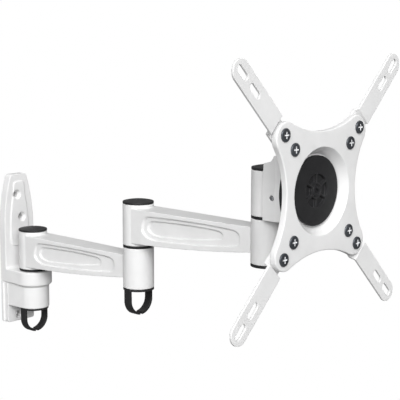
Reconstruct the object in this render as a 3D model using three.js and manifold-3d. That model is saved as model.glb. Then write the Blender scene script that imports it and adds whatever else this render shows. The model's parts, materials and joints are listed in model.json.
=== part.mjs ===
// Full motion wall mount for a flat screen: a wall plate, two equal arms that stack at the elbow,
// a swivelling head with a tilt bracket, and a turning screen plate with four slotted extension arms.
// Millimetres. The wall is the plane y = 0, the mount reaches out along -Y, and +Z is up.
// The origin is the middle of the wall plate's back face.
import * as THREE from 'three';
import { mergeVertices } from 'three/addons/utils/BufferGeometryUtils.js';
import Module from 'manifold-3d';

const wasm = await Module();
wasm.setup();

// ---- driving dimensions -------------------------------------------------------------------------
const GAP = 0.3; // clearance between neighbouring pieces
const FINE = 28; // facets round a boss or a disc
const COARSE = 16; // facets round a small piece
const PROUD = 1; // how far a cutting tool stands past the face it cuts

const WALL = {
  height: 160, halfWidth: 19.2, lowerHalfWidth: 17.6, topHalfWidth: 11.2, thickness: 9.2,
  flange: 3.3, edge: 1.2, corner: 3, stepAt: -28, curveFrom: 22, curveControl: 50,
};
// the raised panel's +x edge in z, x: straight, then two curves that draw it in towards the top
const PANEL = { foot: 2.5, rise: 1, footCorner: 8, topCorner: 5, halfWidth: 11.8, straightTo: 20, top: 72 };
const PANEL_CURVES = [[34, 11.8, 49, 9.3], [59, 7.2, 67, 7]];
const WALL_HOLES = [[-3, 58], [3, 33.6], [-2, -73]]; // x, z of the three fixing holes
const FIXING = { radius: 2.9, headRadius: 4.9, sinkDepth: 3.4, straight: 1.2 };
const STANDOFF = 32; // wall to the first pivot
const SHELF = { top: -20.75, radius: 19.2, thickness: 14, chamfer: 2.4, edge: 0.8, housingRadius: 16 };

const BOSS = { radius: 15, height: 39.7, bore: 8.4, edge: 0.8 };
const JOINT_GAP = 2.5; // height of the black washer between two stacked bosses
const REACH = 161.2; // pivot to pivot, the same on both arms
const ARM_RISE = 4.8; // how far an arm's outer boss stands above its inner one
const BEAM = {
  top: 36.3, lowerInner: 2.8, lowerOuter: 15.2, lowerBow: 4.6,
  innerHalfWidth: 14.3, outerHalfWidth: 9.8, waist: 0.6, start: 4, taper: 0.4,
};
// the leaf recess goes down in two steps, and each step's wall slopes in over its run
const LEAF = { step: 1.9, run: 1.2, slices: 2 };
// the recess's outlines in y, z: where each starts, then its curves as control point and end point
const LEAF_OUTER = [[-18.5, 18], [
  [-20, 30.5, -28, 31.6], [-90, 34.2, -130, 31.6], [-138.2, 30.5, -138.5, 24],
  [-138.2, 17, -129.5, 16.2], [-84, 11, -38, 9.4], [-21, 9.2, -18.5, 18],
]];
const LEAF_INNER = [[-25, 19], [
  [-25.5, 26.8, -32, 27.6], [-78, 30.4, -111, 28.4], [-117.4, 27.6, -117.6, 23.8],
  [-117.6, 20.6, -111, 19.9], [-80, 15, -42, 13.4], [-26.5, 13.4, -25, 19],
]];
const POCKET = { wall: 6.4, roof: 4.8, start: 25, bay: 34, rib: 4 };

const BOLT = { radius: 5, headRadius: 8.6, headHeight: 5 };
const BUSH = { radius: 8.1, bore: 5.35, flangeRadius: 11.2, flange: 1.5, length: 12 };
const CAP = { height: 2.3, dome: 1.4, shoulder: 1, edge: 0.7, skirt: 1.5, skirtDepth: 2 };
const HEAD_WELL = { radius: 11.6, depth: 9.5 }; // counterbore that hides a pivot bolt's head
const NUT_WELL = { radius: 11.2, depth: 14 }; // counterbore that hides a pivot nut
const NUT = { radius: 9.6, height: 8, proud: 1.5 };
const STEEL_WASHER = { radius: 9.8, thickness: 1.7 };
const COLLAR = { ring: 2.4, bore: 8, edge: 0.6, spigot: 1.6 };
const CLIP = { radius: 15.1, strip: 2.5, width: 8.5, behind: 0.5, drop: 27.3, split: 2.4 };

const TILT = { ahead: 18.5, up: 18.4, radius: 2.6, lugRadius: 8.5, lugHalfWidth: 12.8, washerRadius: 6.5 };
const TILT_BOLT = { socket: 1.5, socketDepth: 2, proud: 5.5, nutRadius: 4.7, nutHeight: 4 };
const CHEEK = {
  outer: 18.5, inner: 15.5, neckOuter: 16.6, neckInner: 13.4, foot: -19.8, crown: 35.9, end: 14,
  outerTaper: [-3.5, -8], innerTaper: [-7, -9.5],
};
// the cheek's rear edge and the sweep up to its crown, in y, z from the tilt axis
const CHEEK_EDGE = [[9.8, -19.8], [11.6, 4, 9.1, 29], [3.6, 30.2], [0.2, 30.9, -1.8, 35.9]];

const PLATE = { ahead: 57.3, centreUp: 26.3, thickness: 5.5, lobeCentre: 47.2, lobeRadius: 13.2 };
const WAIST = { side: 46.5, end: 50 };
const DISH = { mouth: 37, floorRadius: 30.8, floor: 9.7, skin: 2.8, hole: 12.3, wall: 3.3 };
const DISC = { radius: 29.5, front: 5.8, thickness: 3.6, edge: 0.8, well: 5.3 };
const POCKETS = { count: 6, outer: 14.6, inner: 7.6, depth: 2, rib: 0.12 };
const HUB = { washer: 40, flange: 27, front: 14.6, baseFront: 17, baseBack: 21, spigot: 11.9, short: 0.1 };
const SWIVEL_BOLT = { radius: 4, headRadius: 5, head: 2.3, socket: 2.6, socketDepth: 1.6, proud: 8.5 };
const SWIVEL_NUT = { radius: 7.4, height: 5.3, washer: 8.5, washerThickness: 1.5 };
const SCREW = {
  radius: 2.4, headRadius: 5.6, head: 1.4, edge: 0.6, crown: 1.6, length: 9, hole: 2.9,
  cross: 2.9, crossWidth: 0.6, crossDepth: 1,
};
const SCREW_SQUARES = [75, 100]; // standard hole squares of the screen plate
const BLADE = {
  inner: 46.5, bend: 80.6, bendLag: 1.4, jog: 2.2, tip: 143.5, halfWidth: 9.5, thickness: 2.3,
  front: 1.3, slots: [121, 141.4], slotLength: 15, slotWidth: 6,
};

// heights of the stacked joints, worked out from the shelf upwards
const lowerArmFoot = SHELF.top + JOINT_GAP;
const elbowSeat = lowerArmFoot + ARM_RISE + BOSS.height;
const upperArmFoot = elbowSeat + JOINT_GAP;
const headSeat = upperArmFoot + ARM_RISE + BOSS.height;
const headFoot = headSeat + JOINT_GAP;
const wallPivot = -STANDOFF;
const elbowPivot = wallPivot - REACH;
const headPivot = elbowPivot - REACH;
const tiltY = headPivot - TILT.ahead;
const tiltZ = headFoot + TILT.up;
const plateY = headPivot - PLATE.ahead;
const plateZ = headFoot + PLATE.centreUp;
const bracketFront = HUB.baseFront - (PLATE.ahead - TILT.ahead);
const bracketBack = HUB.baseBack - (PLATE.ahead - TILT.ahead) - PROUD;

// ---- finishes -----------------------------------------------------------------------------------
const finish = (color, roughness, metalness) => new THREE.MeshStandardMaterial({ color, roughness, metalness });
const WHITE = finish(0xeeeeee, 0.35, 0);
const BLACK = finish(0x2b2b2c, 0.5, 0);
const NYLON = finish(0xe9e6dc, 0.5, 0);
const STEEL = finish(0xb9bcc0, 0.35, 1);
const DARK_STEEL = finish(0x33383f, 0.35, 1);

// ---- solids -------------------------------------------------------------------------------------
// Puts every face's winding outwards, so that the enclosed volume comes out positive.
function outwards(geometry) {
  const place = geometry.attributes.position;
  const index = geometry.index.array;
  const [a, b, c] = [new THREE.Vector3(), new THREE.Vector3(), new THREE.Vector3()];
  let volume = 0;
  for (let i = 0; i < index.length; i += 3) {
    a.fromBufferAttribute(place, index[i]);
    b.fromBufferAttribute(place, index[i + 1]);
    c.fromBufferAttribute(place, index[i + 2]);
    volume += a.dot(b.cross(c));
  }
  if (volume < 0) {
    for (let i = 0; i < index.length; i += 3) {
      [index[i + 1], index[i + 2]] = [index[i + 2], index[i + 1]];
    }
  }
  return geometry;
}

function solid(geometry) {
  geometry.deleteAttribute('normal');
  geometry.deleteAttribute('uv');
  const closed = outwards(mergeVertices(geometry, 1e-4));
  const vertProperties = Float32Array.from(closed.attributes.position.array);
  const triVerts = Uint32Array.from(closed.index.array);
  return new wasm.Manifold(new wasm.Mesh({ numProp: 3, vertProperties, triVerts }));
}

// A body turned about +Z from [radius, height] pairs; a profile that starts off the axis closes on itself.
function turned(pairs, segments = FINE) {
  const points = pairs.map(([r, z]) => new THREE.Vector2(r, z));
  if (pairs[0][0] > 0) points.push(points[0].clone());
  return solid(new THREE.LatheGeometry(points, segments).rotateX(Math.PI / 2));
}

const rod = (radius, from, to, segments = COARSE) =>
  turned([[0, from], [radius, from], [radius, to], [0, to]], segments);

const tube = (inner, outer, from, to, segments = COARSE) =>
  turned([[inner, from], [outer, from], [outer, to], [inner, to]], segments);

const block = (x, y, z) => solid(new THREE.BoxGeometry(x[1] - x[0], y[1] - y[0], z[1] - z[0])
  .translate((x[0] + x[1]) / 2, (y[0] + y[1]) / 2, (z[0] + z[1]) / 2));

// A shape pushed out along one axis, from one place on it to another.
const PLANES = {
  z: [[1, 0, 0], [0, 1, 0], [0, 0, 1]], // drawn in x, y
  x: [[0, 1, 0], [0, 0, 1], [1, 0, 0]], // drawn in y, z
  y: [[0, 0, 1], [1, 0, 0], [0, 1, 0]], // drawn in z, x
};
function pushed(shape, axis, from, to, curveSegments = 8) {
  const geometry = new THREE.ExtrudeGeometry(shape, { depth: to - from, bevelEnabled: false, curveSegments });
  const columns = PLANES[axis].map((column) => new THREE.Vector3(...column));
  geometry.translate(0, 0, from);
  return solid(geometry.applyMatrix4(new THREE.Matrix4().makeBasis(...columns)));
}

const outline = (points) => new THREE.Shape(points.map(([u, v]) => new THREE.Vector2(u, v)));

// An outline from a start and its steps: [u, v] is a line, [control u, control v, u, v] a curve.
function traced(start, steps) {
  const shape = new THREE.Shape();
  shape.moveTo(...start);
  steps.forEach((step) => (step.length === 2 ? shape.lineTo(...step) : shape.quadraticCurveTo(...step)));
  return shape;
}

// A closed outline that is the same either side of the u axis, from its +v half.
function mirrored(start, steps, curveSegments = 6) {
  const half = traced(start, steps).getPoints(curveSegments);
  return new THREE.Shape([...half, ...half.map(({ x, y }) => new THREE.Vector2(x, -y)).reverse()]);
}

// The outline drawn in by a distance: each point moves square to the line between its neighbours.
function shrunk(points, by) {
  const count = points.length;
  return points.map((point, i) => {
    const along = points[(i + 1) % count].clone().sub(points[(i + count - 1) % count]).normalize();
    return new THREE.Vector2(point.x - along.y * by, point.y + along.x * by);
  });
}

const union = (...solids) => solids.reduce((sum, next) => sum.add(next));
const acrossX = (body) => body.rotate([0, 90, 0]);

function meshOf(name, body, material) {
  const { vertProperties, triVerts } = body.getMesh();
  const geometry = new THREE.BufferGeometry();
  geometry.setAttribute('position', new THREE.BufferAttribute(vertProperties, 3));
  geometry.setIndex(new THREE.BufferAttribute(triVerts, 1));
  geometry.computeVertexNormals();
  const mesh = new THREE.Mesh(geometry, material);
  mesh.name = name;
  return mesh;
}

function groupAt(x, y, z, ...children) {
  const group = new THREE.Group();
  group.position.set(x, y, z);
  group.add(...children);
  return group;
}

// ---- pivots -------------------------------------------------------------------------------------
const bossBody = (foot) => turned([
  [0, foot], [BOSS.radius - BOSS.edge, foot], [BOSS.radius, foot + BOSS.edge],
  [BOSS.radius, foot + BOSS.height - BOSS.edge], [BOSS.radius - BOSS.edge, foot + BOSS.height],
  [0, foot + BOSS.height],
]);

// The bore of a boss that turns on two bushes, with a well for the bolt's head above.
function bushBore(foot) {
  const top = foot + BOSS.height;
  return union(
    rod(BOSS.bore, foot - PROUD, top + PROUD),
    rod(HEAD_WELL.radius, top - HEAD_WELL.depth, top + PROUD),
    rod(HEAD_WELL.radius, foot - PROUD, foot + BUSH.flange + 2 * GAP),
  );
}

// The bore of a boss that holds the bolt, with a well for the nut below.
function nutBore(seat) {
  const foot = seat - BOSS.height;
  return union(
    rod(BOLT.radius + GAP, foot - PROUD, seat + PROUD),
    rod(NUT_WELL.radius, foot - PROUD, foot + NUT_WELL.depth),
  );
}

// The pieces that run through a pair of stacked bosses, measured from the lower boss's top face.
function pivotSet(name) {
  const upperFoot = JOINT_GAP;
  const upperTop = upperFoot + BOSS.height;
  const wellFloor = upperTop - HEAD_WELL.depth;
  const headUnder = wellFloor + BUSH.flange + 2 * GAP;
  const nutTop = NUT_WELL.depth - BOSS.height - 2 * GAP - STEEL_WASHER.thickness;
  const boltEnd = nutTop - NUT.height - NUT.proud;
  const capFoot = upperTop + GAP;
  const capTop = upperTop + CAP.height;
  const skirt = HEAD_WELL.radius - GAP;

  const bolt = union(
    rod(BOLT.radius, boltEnd, headUnder + PROUD),
    rod(BOLT.headRadius, headUnder, headUnder + BOLT.headHeight, 6),
  );
  const upperBush = union(
    tube(BUSH.bore, BUSH.flangeRadius, wellFloor + GAP, wellFloor + GAP + BUSH.flange),
    tube(BUSH.bore, BUSH.radius, wellFloor - BUSH.length, wellFloor + BUSH.flange),
  );
  const lowerBush = union(
    tube(BUSH.bore, BUSH.flangeRadius, upperFoot + GAP, upperFoot + GAP + BUSH.flange),
    tube(BUSH.bore, BUSH.radius, upperFoot + BUSH.flange, upperFoot + BUSH.length),
  );
  const slipWasher = tube(BUSH.bore, BOSS.radius, GAP, JOINT_GAP - GAP, FINE);
  const washer = tube(BUSH.bore, STEEL_WASHER.radius, nutTop + GAP, nutTop + GAP + STEEL_WASHER.thickness);
  const nut = rod(NUT.radius, nutTop - NUT.height, nutTop, 6)
    .subtract(rod(BUSH.bore, nutTop - NUT.height - PROUD, nutTop + PROUD));
  const cap = union(
    turned([
      [0, capFoot], [BOSS.radius, capFoot], [BOSS.radius, capTop - CAP.edge], [BOSS.radius - CAP.edge, capTop],
      [BOSS.radius / 2, capTop + CAP.shoulder], [0, capTop + CAP.dome],
    ]),
    tube(skirt - CAP.skirt, skirt, upperTop - CAP.skirtDepth, capTop - PROUD, FINE),
  );
  return [
    meshOf(`${name}_pivot_bolt`, bolt, STEEL),
    meshOf(`${name}_upper_bush`, upperBush, NYLON),
    meshOf(`${name}_lower_bush`, lowerBush, NYLON),
    meshOf(`${name}_slip_washer`, slipWasher, BLACK),
    meshOf(`${name}_steel_washer`, washer, STEEL),
    meshOf(`${name}_lock_nut`, nut, STEEL),
    meshOf(`${name}_cap`, cap, BLACK),
  ];
}

// The collar under a boss: a ring with a spigot that snaps into the nut's well.
function collar() {
  return union(
    turned([
      [COLLAR.bore, -COLLAR.ring], [BOSS.radius - COLLAR.edge, -COLLAR.ring],
      [BOSS.radius, COLLAR.edge - COLLAR.ring], [BOSS.radius, -GAP], [COLLAR.bore, -GAP],
    ]),
    tube(COLLAR.bore, NUT_WELL.radius - GAP, -2 * GAP, COLLAR.spigot, FINE),
  );
}

// One half of the cable loop: a flat leg that curves round to the split at the bottom.
function loopHalf(side) {
  const { radius, width, behind } = CLIP;
  const inner = radius - CLIP.strip;
  const turn = CLIP.drop - radius;
  const legTop = -2 * GAP;
  const shape = new THREE.Shape();
  shape.moveTo(legTop, inner);
  shape.lineTo(legTop, radius);
  shape.lineTo(-turn, radius);
  shape.absarc(-turn, 0, radius, Math.PI / 2, Math.PI, false);
  shape.lineTo(-turn - inner, 0);
  shape.absarc(-turn, 0, inner, Math.PI, Math.PI / 2, true);
  const beyondSplit = block([CLIP.split / 2, 2 * radius], [-width, width], [-2 * CLIP.drop, PROUD]);
  const loop = pushed(shape, 'y', behind - width / 2, behind + width / 2).intersect(beyondSplit);
  return side > 0 ? loop : loop.mirror([1, 0, 0]);
}

const cableClip = (name) => meshOf(name, union(collar(), loopHalf(1), loopHalf(-1)), BLACK);

function endRing(name) {
  const floor = rod(COLLAR.bore + PROUD, -COLLAR.ring, -2 * GAP, FINE);
  return meshOf(name, union(collar(), floor), BLACK);
}

// ---- wall plate ---------------------------------------------------------------------------------
// The plate's outline in z, x: straight below, drawing in along a curve towards the top.
function wallOutline(inset, lowHalfWidth) {
  const { corner, stepAt, curveFrom, curveControl } = WALL;
  const top = WALL.height / 2 - inset;
  const [wide, low, narrow] = [WALL.halfWidth, lowHalfWidth, WALL.topHalfWidth].map((half) => half - inset);
  return mirrored([-top, low - corner], [
    [-top, low, corner - top, low], [stepAt, low], [stepAt, wide], [curveFrom, wide],
    [curveControl, wide, top - corner, narrow], [top, narrow - corner / 3, top, narrow - 1.3 * corner],
  ]);
}

function panelOutline() {
  const { foot, footCorner, topCorner, halfWidth, straightTo, top } = PANEL;
  const [, , , topHalf] = PANEL_CURVES.at(-1);
  return mirrored([foot, halfWidth - footCorner], [
    [foot, halfWidth, foot + footCorner, halfWidth], [straightTo, halfWidth], ...PANEL_CURVES,
    [top, topHalf, top, topHalf - topCorner],
  ]);
}

function fixingHole([x, z]) {
  const front = WALL.thickness + PANEL.rise;
  const hole = turned([
    [0, -PROUD], [FIXING.radius, -PROUD], [FIXING.radius, front - FIXING.sinkDepth],
    [FIXING.headRadius, front - FIXING.straight], [FIXING.headRadius, front + PROUD], [0, front + PROUD],
  ], COARSE);
  return hole.rotate([90, 0, 0]).translate([x, 0, z]);
}

// The shelf with the first pivot's housing under it, measured from the pivot.
function shelfBody() {
  const { top, radius, thickness, chamfer, edge, housingRadius } = SHELF;
  const foot = top - thickness;
  const housingFoot = top - BOSS.height;
  const root = STANDOFF - WALL.thickness / 2;
  const low = WALL.lowerHalfWidth;
  const housingWeb = outline([[-housingRadius, 0], [housingRadius, 0], [low, root], [-low, root]]);
  return union(
    turned([
      [0, foot - chamfer], [housingRadius, foot - chamfer], [radius, foot], [radius, top - edge],
      [radius - edge, top], [0, top],
    ]),
    rod(housingRadius, housingFoot, foot, FINE),
    block([-radius, radius], [0, root], [foot, top]),
    pushed(housingWeb, 'z', housingFoot, foot + PROUD),
  );
}

function wallPlate() {
  const { halfWidth, lowerHalfWidth, thickness, flange, edge } = WALL;
  const casting = union(
    pushed(wallOutline(0, halfWidth), 'y', -flange, 0),
    pushed(wallOutline(0, lowerHalfWidth), 'y', edge - thickness, 0),
    pushed(wallOutline(edge, lowerHalfWidth), 'y', -thickness, 0),
    pushed(panelOutline(), 'y', -thickness - PANEL.rise, -flange),
    shelfBody().translate([0, wallPivot, 0]),
  ).subtract(nutBore(SHELF.top).translate([0, wallPivot, 0]));
  return WALL_HOLES.reduce((body, place) => body.subtract(fixingHole(place)), casting);
}

// ---- arms ---------------------------------------------------------------------------------------
// An arm lies along -Y from its inner pivot, with its inner boss standing on z = 0.
function beam(inset) {
  const { start, waist, top, lowerInner, lowerOuter, lowerBow } = BEAM;
  const inner = BEAM.innerHalfWidth - inset;
  const outer = BEAM.outerHalfWidth - inset;
  const edge = inset * BEAM.taper;
  const plan = mirrored([0, inner - start], [
    [-start, inner], [-REACH / 2, inner - waist, -REACH, outer],
  ]);
  const side = traced([0, lowerInner + edge], [
    [0, top - edge], [-REACH, top - edge], [-REACH, lowerOuter + edge],
    [-REACH / 2, lowerBow + edge, 0, lowerInner + edge],
  ]);
  const swapped = new THREE.Shape(plan.getPoints().map(({ x, y }) => new THREE.Vector2(y, x)));
  return pushed(swapped, 'z', 0, BOSS.height).intersect(pushed(side, 'x', -BOSS.radius, BOSS.radius, 6));
}

// Three open bays under the beam, with two ribs left between them.
function underside() {
  const drop = BOSS.height / 2;
  const core = beam(POCKET.wall).add(beam(POCKET.wall).translate([0, 0, -drop]));
  const bays = [0, 1, 2].map((i) => {
    const from = POCKET.start + i * (POCKET.bay + POCKET.rib);
    return block([-BOSS.radius, BOSS.radius], [-from - POCKET.bay, -from], [-drop, BEAM.top - POCKET.roof]);
  });
  return core.intersect(union(...bays));
}

// The beam's skin in layers: each lies deeper than the one before and is cut by a smaller outline.
function leafLayers() {
  const { step, run, slices } = LEAF;
  return [LEAF_OUTER, LEAF_INNER].flatMap((leaf, level) => {
    const points = traced(...leaf).getPoints(5).slice(1);
    return Array.from({ length: slices }, (_, i) => {
      const part = i / slices;
      const hole = pushed(new THREE.Shape(shrunk(points, run * part)), 'x', -BOSS.radius, BOSS.radius);
      return beam(step * (level + part)).subtract(hole);
    });
  });
}

function armBody() {
  const outerSeat = ARM_RISE + BOSS.height;
  return union(...leafLayers(), beam(2 * LEAF.step))
    .subtract(underside())
    .add(bossBody(0))
    .add(bossBody(ARM_RISE).translate([0, -REACH, 0]))
    .subtract(bushBore(0))
    .subtract(nutBore(outerSeat).translate([0, -REACH, 0]));
}

// ---- head ---------------------------------------------------------------------------------------
const tiltBore = () => acrossX(rod(TILT.radius + GAP, -2 * CHEEK.outer, 2 * CHEEK.outer));

// The knuckle: a boss on the head pivot with a lug ahead of it for the tilt bolt.
function knuckle() {
  const { lugRadius, lugHalfWidth, ahead, up } = TILT;
  const lug = union(
    acrossX(rod(lugRadius, -lugHalfWidth, lugHalfWidth, 24)),
    block([-lugHalfWidth, lugHalfWidth], [0, ahead - BOSS.bore], [-lugRadius, lugRadius]),
  ).subtract(tiltBore()).translate([0, -ahead, up]);
  return union(bossBody(0), lug).subtract(bushBore(0));
}

// One cheek of the tilt bracket in plan, measured from the tilt axis.
function cheekPlan(side) {
  const { outer, inner, neckOuter, neckInner, end, outerTaper, innerTaper } = CHEEK;
  return outline([
    [inner, end], [outer, end], [outer, outerTaper[0]], [neckOuter, outerTaper[1]], [neckOuter, bracketBack],
    [neckInner, bracketBack], [neckInner, innerTaper[1]], [inner, innerTaper[0]],
  ].map(([x, y]) => [side * x, y]));
}

// Places a solid turned about +Z on the screen plate's axis, with +Z towards the screen.
const onPlateAxis = (body) => body.rotate([90, 0, 0]).translate([0, plateY - tiltY, plateZ - tiltZ]);

// The bracket, measured from the tilt axis.
function tiltBracket() {
  const { outer, neckOuter, foot, crown } = CHEEK;
  const edge = traced([bracketBack, foot], [...CHEEK_EDGE, [bracketBack, crown]]);
  const sweep = pushed(edge, 'x', -outer - PROUD, outer + PROUD);
  const cheeks = [-1, 1].map((side) => pushed(cheekPlan(side), 'z', foot - PROUD, crown + PROUD)
    .intersect(sweep));
  const base = block([-neckOuter, neckOuter], [bracketFront, bracketBack + PROUD], [foot, crown]);
  const hub = onPlateAxis(union(
    rod(HUB.flange, -HUB.baseFront - PROUD, -HUB.front, FINE),
    rod(HUB.spigot, -HUB.baseFront, -DISH.floor - HUB.short, FINE),
  ));
  const hubBore = onPlateAxis(rod(SWIVEL_BOLT.radius + GAP, -2 * HUB.baseBack, 0));
  return union(...cheeks, base, hub).subtract(hubBore).subtract(tiltBore());
}

function tiltSet() {
  const { outer } = CHEEK;
  const { socket, socketDepth, proud, nutRadius, nutHeight } = TILT_BOLT;
  const nutFrom = outer + GAP;
  const washer = () => acrossX(
    tube(TILT.radius + GAP, TILT.washerRadius, TILT.lugHalfWidth + GAP, CHEEK.inner - GAP));
  const bolt = rod(TILT.radius, -outer, nutFrom + proud)
    .subtract(rod(socket, -outer - PROUD, socketDepth - outer, 6));
  const nut = rod(nutRadius, nutFrom, nutFrom + nutHeight, 6)
    .subtract(rod(TILT.radius + GAP, nutFrom - PROUD, nutFrom + nutHeight + PROUD));
  return [
    meshOf('tilt_bolt', acrossX(bolt), STEEL),
    meshOf('tilt_nut', acrossX(nut), STEEL),
    meshOf('tilt_washer_right', washer(), NYLON),
    meshOf('tilt_washer_left', washer().mirror([1, 0, 0]), NYLON),
  ];
}

// ---- screen plate, in a frame of its own: x right, y up, z towards the screen, z = 0 on its face -
// Four round lobes joined by hollow arcs that just touch them.
function plateOutline() {
  const { lobeCentre: c, lobeRadius: r } = PLATE;
  const arcRadius = (waist) => ((waist - c) ** 2 + c ** 2 - r ** 2) / (2 * (r - (waist - c)));
  const waists = [WAIST.side, WAIST.end, WAIST.side, WAIST.end];
  const shape = new THREE.Shape();
  waists.forEach((waist, quarter) => {
    const [before, after] = [waist, waists[(quarter + 1) % 4]].map(arcRadius);
    const turn = quarter * Math.PI / 2;
    const place = (x, y) => [
      x * Math.cos(turn) - y * Math.sin(turn), x * Math.sin(turn) + y * Math.cos(turn),
    ];
    // this quarter's hollow is centred on its own +x axis, and its lobe follows at 45 degrees
    const half = Math.asin(c / (before + r));
    shape.absarc(...place(waist + before, 0), before, turn + Math.PI + half, turn + Math.PI - half, true);
    const halfAfter = Math.asin(c / (after + r));
    shape.absarc(...place(c, c), r, turn - half, turn + Math.PI / 2 + halfAfter, false);
  });
  return shape;
}

const QUADRANTS = [[1, 1], [-1, 1], [-1, -1], [1, -1]];
const squarePoints = (side) => QUADRANTS.map(([x, y]) => [x * side / 2, y * side / 2]);

function screenPlate() {
  const { mouth, floorRadius, floor, skin, hole, wall } = DISH;
  const dishBack = -floor - skin;
  const plateBack = -PLATE.thickness;
  const dishOuter = turned([
    [0, dishBack], [floorRadius + wall, dishBack], [mouth + wall, plateBack + GAP], [0, plateBack + GAP],
  ], 36);
  const dishInner = turned([
    [0, -floor], [floorRadius, -floor], [mouth, 0], [mouth, PROUD], [0, PROUD],
  ], 36);
  const face = pushed(plateOutline(), 'z', plateBack, 0, 7);
  const centreHole = rod(hole, dishBack - PROUD, 0, FINE);
  const screwHoles = SCREW_SQUARES.flatMap(squarePoints)
    .map(([x, y]) => rod(SCREW.hole, plateBack - PROUD, PROUD, 10).translate([x, y, 0]));
  return face.add(dishOuter).subtract(union(dishInner, centreHole, ...screwHoles));
}

// The black disc that clamps the plate to the hub, with a ring of pockets round its centre.
function clampDisc() {
  const { radius, edge, well } = DISC;
  const front = -DISC.front;
  const back = front - DISC.thickness;
  const half = Math.PI / POCKETS.count - POCKETS.rib;
  const taper = POCKETS.rib / 2;
  const pockets = Array.from({ length: POCKETS.count }, (_, i) => {
    const middle = 2 * Math.PI / POCKETS.count * i;
    const shape = new THREE.Shape();
    shape.absarc(0, 0, POCKETS.outer, middle - half + taper, middle + half - taper, false);
    shape.absarc(0, 0, POCKETS.inner, middle + half, middle - half, true);
    return pushed(shape, 'z', front - POCKETS.depth, front + PROUD, 4);
  });
  const body = turned([[0, back], [radius, back], [radius, front - edge], [radius - edge, front], [0, front]]);
  return body.subtract(union(
    ...pockets,
    rod(well, front - SWIVEL_BOLT.head - GAP, front + PROUD),
    rod(SWIVEL_BOLT.radius + GAP, back - PROUD, front),
  ));
}

function swivelBolt() {
  const { radius, headRadius, head, socket, socketDepth, proud } = SWIVEL_BOLT;
  const under = -DISC.front - head;
  return union(rod(radius, -HUB.baseBack - proud, under + GAP), rod(headRadius, under, -DISC.front))
    .subtract(rod(socket, -DISC.front - socketDepth, 0, 6));
}

function extensionArm() {
  const { inner, bend, bendLag, jog, tip, halfWidth, thickness, front, slotLength, slotWidth } = BLADE;
  const tabFront = -PLATE.thickness - GAP;
  const bladeBack = -front - thickness;
  const end = tip + halfWidth + PROUD;
  // side view, drawn in z, x: the tab behind the plate, the bend just past its edge and the blade
  const side = outline([
    [tabFront - thickness, inner], [tabFront - thickness, bend + bendLag], [bladeBack, bend + bendLag + jog],
    [bladeBack, end], [-front, end], [-front, bend + jog], [tabFront, bend], [tabFront, inner],
  ]);
  const plan = new THREE.Shape();
  plan.moveTo(inner, -halfWidth);
  plan.absarc(tip, 0, halfWidth, -Math.PI / 2, Math.PI / 2, false);
  plan.lineTo(inner, halfWidth);
  const through = [-2 * PLATE.thickness, PROUD];
  const slot = (middle) => {
    const run = (slotLength - slotWidth) / 2;
    const shape = new THREE.Shape();
    shape.absarc(middle - run, 0, slotWidth / 2, Math.PI / 2, Math.PI * 3 / 2, false);
    shape.absarc(middle + run, 0, slotWidth / 2, -Math.PI / 2, Math.PI / 2, false);
    return pushed(shape, 'z', ...through, 4);
  };
  const holes = SCREW_SQUARES.map((square) => rod(SCREW.hole, ...through, 10)
    .translate([square / Math.SQRT2, 0, 0]));
  return pushed(side, 'y', -halfWidth, halfWidth)
    .intersect(pushed(plan, 'z', ...through, 9))
    .subtract(union(...BLADE.slots.map(slot), ...holes));
}

// A pan head screw with a cross recess, pointing into the plate.
function panScrew() {
  const { radius, headRadius, head, edge, crown, length, cross, crossWidth, crossDepth } = SCREW;
  const top = GAP + head;
  const depth = [top - crossDepth, top + PROUD];
  const recess = union(
    block([-cross, cross], [-crossWidth, crossWidth], depth),
    block([-crossWidth, crossWidth], [-cross, cross], depth),
  );
  return turned([
    [0, -length], [radius, -length], [radius, GAP], [headRadius, GAP], [headRadius, GAP + edge],
    [headRadius - crown, top], [0, top],
  ], 12).subtract(recess);
}

// ---- assembly -----------------------------------------------------------------------------------
const CORNERS = ['upper_right', 'upper_left', 'lower_left', 'lower_right'];

const mount = new THREE.Group();
mount.add(
  meshOf('wall_plate', wallPlate(), WHITE),
  groupAt(0, wallPivot, SHELF.top, ...pivotSet('shoulder')),
  groupAt(0, wallPivot, SHELF.top - BOSS.height, cableClip('shoulder_cable_clip')),
  groupAt(0, wallPivot, lowerArmFoot, meshOf('lower_arm', armBody(), WHITE)),
  groupAt(0, elbowPivot, elbowSeat, ...pivotSet('elbow')),
  groupAt(0, elbowPivot, elbowSeat - BOSS.height, cableClip('elbow_cable_clip')),
  groupAt(0, elbowPivot, upperArmFoot, meshOf('upper_arm', armBody(), WHITE)),
  groupAt(0, headPivot, headSeat, ...pivotSet('head')),
  groupAt(0, headPivot, headSeat - BOSS.height, endRing('head_end_ring')),
  groupAt(0, headPivot, headFoot, meshOf('head_knuckle', knuckle(), WHITE)),
  groupAt(0, tiltY, tiltZ, meshOf('tilt_bracket', tiltBracket(), WHITE), ...tiltSet()),
);

const slipWasher = tube(DISH.hole, HUB.washer, GAP - HUB.front, -DISH.floor - DISH.skin - GAP, FINE);
const washerBack = -HUB.baseBack - GAP - SWIVEL_NUT.washerThickness;
const nutBack = washerBack - GAP - SWIVEL_NUT.height;
const boltHole = SWIVEL_BOLT.radius + GAP;
const swivelWasher = tube(boltHole, SWIVEL_NUT.washer, washerBack, -HUB.baseBack - GAP);
const swivelNut = rod(SWIVEL_NUT.radius, nutBack, washerBack - GAP, 6)
  .subtract(rod(boltHole, nutBack - PROUD, washerBack));

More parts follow.
